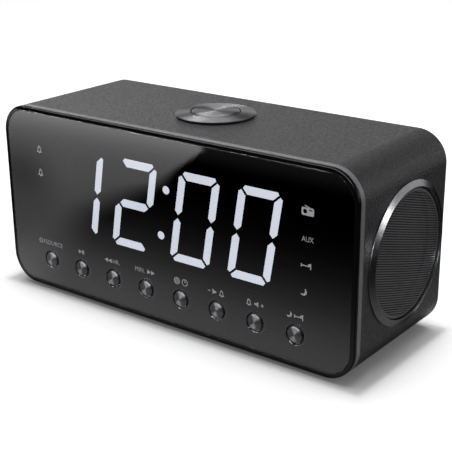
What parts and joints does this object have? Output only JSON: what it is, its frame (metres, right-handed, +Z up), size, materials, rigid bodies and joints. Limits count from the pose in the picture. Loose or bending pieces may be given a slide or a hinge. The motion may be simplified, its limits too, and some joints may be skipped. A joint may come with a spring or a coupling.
{
  "type": "clock radio",
  "caption": "Rounded-box table clock radio with a large segment display behind a dark lens, round front keys, a top snooze button and a round loudspeaker in each side.",
  "frame": {"origin": "middle of the whole object's box in plan, on the surface that its feet stand on", "axes": "+X to the right as seen by a person facing the display, +Y from the display back to the rear cover, +Z up"},
  "size_m": [0.2164, 0.0786, 0.1007],
  "materials": {
    "cabinet_plastic": "fine matte grain",
    "frame_plastic": "satin",
    "gloss_black": "polished",
    "lens": "smoked, polished",
    "black_plastic": "moulded",
    "segment_lit": "diffusing, lit",
    "segment_dark": "diffusing, unlit",
    "led": "clear resin",
    "circuit_board": "solder mask",
    "chip": "moulded",
    "capacitor": "sleeved",
    "key_metal": "dark, spun",
    "spun_metal": "spun",
    "trim_metal": "brushed",
    "screw_steel": "zinc plated",
    "black_screw": "blackened",
    "spring_steel": "drawn wire",
    "grille_metal": "black powder coat, perforated",
    "basket_steel": "pressed, plated",
    "magnet": "ferrite",
    "paper": "pressed pulp",
    "copper": "enamelled wire",
    "rubber": "matte",
    "cell_steel": "nickel plated",
    "shield_steel": "tinned",
    "wire": "insulation",
    "ribbon": "flat cable",
    "legend_ink": "screen-printed ink"
  },
  "bodies": {
    "root": {"cabinet": "cabinet_plastic", "rubber_feet": "rubber", "front_frame": "frame_plastic", "frame_screws": "screw_steel", "front_rim": "gloss_black", "front_lens": "lens", "display_housing": "black_plastic", "segments_lit": "segment_lit", "segments_dark": "segment_dark", "display_leds": "led", "display_board": "circuit_board", "key_board": "circuit_board", "key_switches": "chip", "snooze_ring": "spun_metal", "snooze_nut": "screw_steel", "snooze_spring": "spring_steel", "snooze_switch": "chip", "snooze_board": "circuit_board", "board_screws": "screw_steel", "right_trim_ring": "trim_metal", "right_grille": "grille_metal", "right_gasket": "rubber", "right_basket": "basket_steel", "right_cone": "paper", "right_dust_cap": "paper", "right_voice_coil": "copper", "right_magnet": "magnet", "left_trim_ring": "trim_metal", "left_grille": "grille_metal", "left_gasket": "rubber", "left_basket": "basket_steel", "left_cone": "paper", "left_dust_cap": "paper", "left_voice_coil": "copper", "left_magnet": "magnet", "speaker_screws": "screw_steel", "rear_cover": "black_plastic", "rear_screws": "black_screw", "main_board": "circuit_board", "board_chips": "chip", "board_capacitors": "capacitor", "tuner_shield": "shield_steel", "aux_jack": "black_plastic", "power_jack": "black_plastic", "antenna_grommet": "rubber", "battery_tray": "black_plastic", "coin_cell": "cell_steel", "ribbon_cables": "ribbon", "wire_leads": "wire"},
    "key_source": {"key_source": "key_metal"},
    "key_play": {"key_play": "key_metal"},
    "key_hour": {"key_hour": "key_metal"},
    "key_minute": {"key_minute": "key_metal"},
    "key_clock": {"key_clock": "key_metal"},
    "key_volume_down": {"key_volume_down": "key_metal"},
    "key_volume_up": {"key_volume_up": "key_metal"},
    "key_sleep": {"key_sleep": "key_metal"},
    "snooze_button": {"snooze_button": "spun_metal"},
    "battery_door": {"battery_door": "black_plastic"}
  },
  "joints": [
    {"name": "key_source_press", "type": "slide", "parent": "root", "child": "key_source", "axis": [0, 1, 0], "range_m": [0, 0.0008], "stiffness_N_per_m": 900, "springref_m": -0.0004},
    {"name": "key_play_press", "type": "slide", "parent": "root", "child": "key_play", "axis": [0, 1, 0], "range_m": [0, 0.0008], "stiffness_N_per_m": 900, "springref_m": -0.0004},
    {"name": "key_hour_press", "type": "slide", "parent": "root", "child": "key_hour", "axis": [0, 1, 0], "range_m": [0, 0.0008], "stiffness_N_per_m": 900, "springref_m": -0.0004},
    {"name": "key_minute_press", "type": "slide", "parent": "root", "child": "key_minute", "axis": [0, 1, 0], "range_m": [0, 0.0008], "stiffness_N_per_m": 900, "springref_m": -0.0004},
    {"name": "key_clock_press", "type": "slide", "parent": "root", "child": "key_clock", "axis": [0, 1, 0], "range_m": [0, 0.0008], "stiffness_N_per_m": 900, "springref_m": -0.0004},
    {"name": "key_volume_down_press", "type": "slide", "parent": "root", "child": "key_volume_down", "axis": [0, 1, 0], "range_m": [0, 0.0008], "stiffness_N_per_m": 900, "springref_m": -0.0004},
    {"name": "key_volume_up_press", "type": "slide", "parent": "root", "child": "key_volume_up", "axis": [0, 1, 0], "range_m": [0, 0.0008], "stiffness_N_per_m": 900, "springref_m": -0.0004},
    {"name": "key_sleep_press", "type": "slide", "parent": "root", "child": "key_sleep", "axis": [0, 1, 0], "range_m": [0, 0.0008], "stiffness_N_per_m": 900, "springref_m": -0.0004},
    {"name": "snooze_press", "type": "slide", "parent": "root", "child": "snooze_button", "axis": [0, 0, -1], "range_m": [0, 0.0015], "stiffness_N_per_m": 1000, "springref_m": -0.0008, "deforming": ["snooze_spring"]},
    {"name": "battery_door_turn", "type": "hinge", "parent": "root", "child": "battery_door", "pos_m": [0.04, 0.0386, 0.034], "axis": [0, 1, 0], "range_deg": [0, 45]}
  ]
}
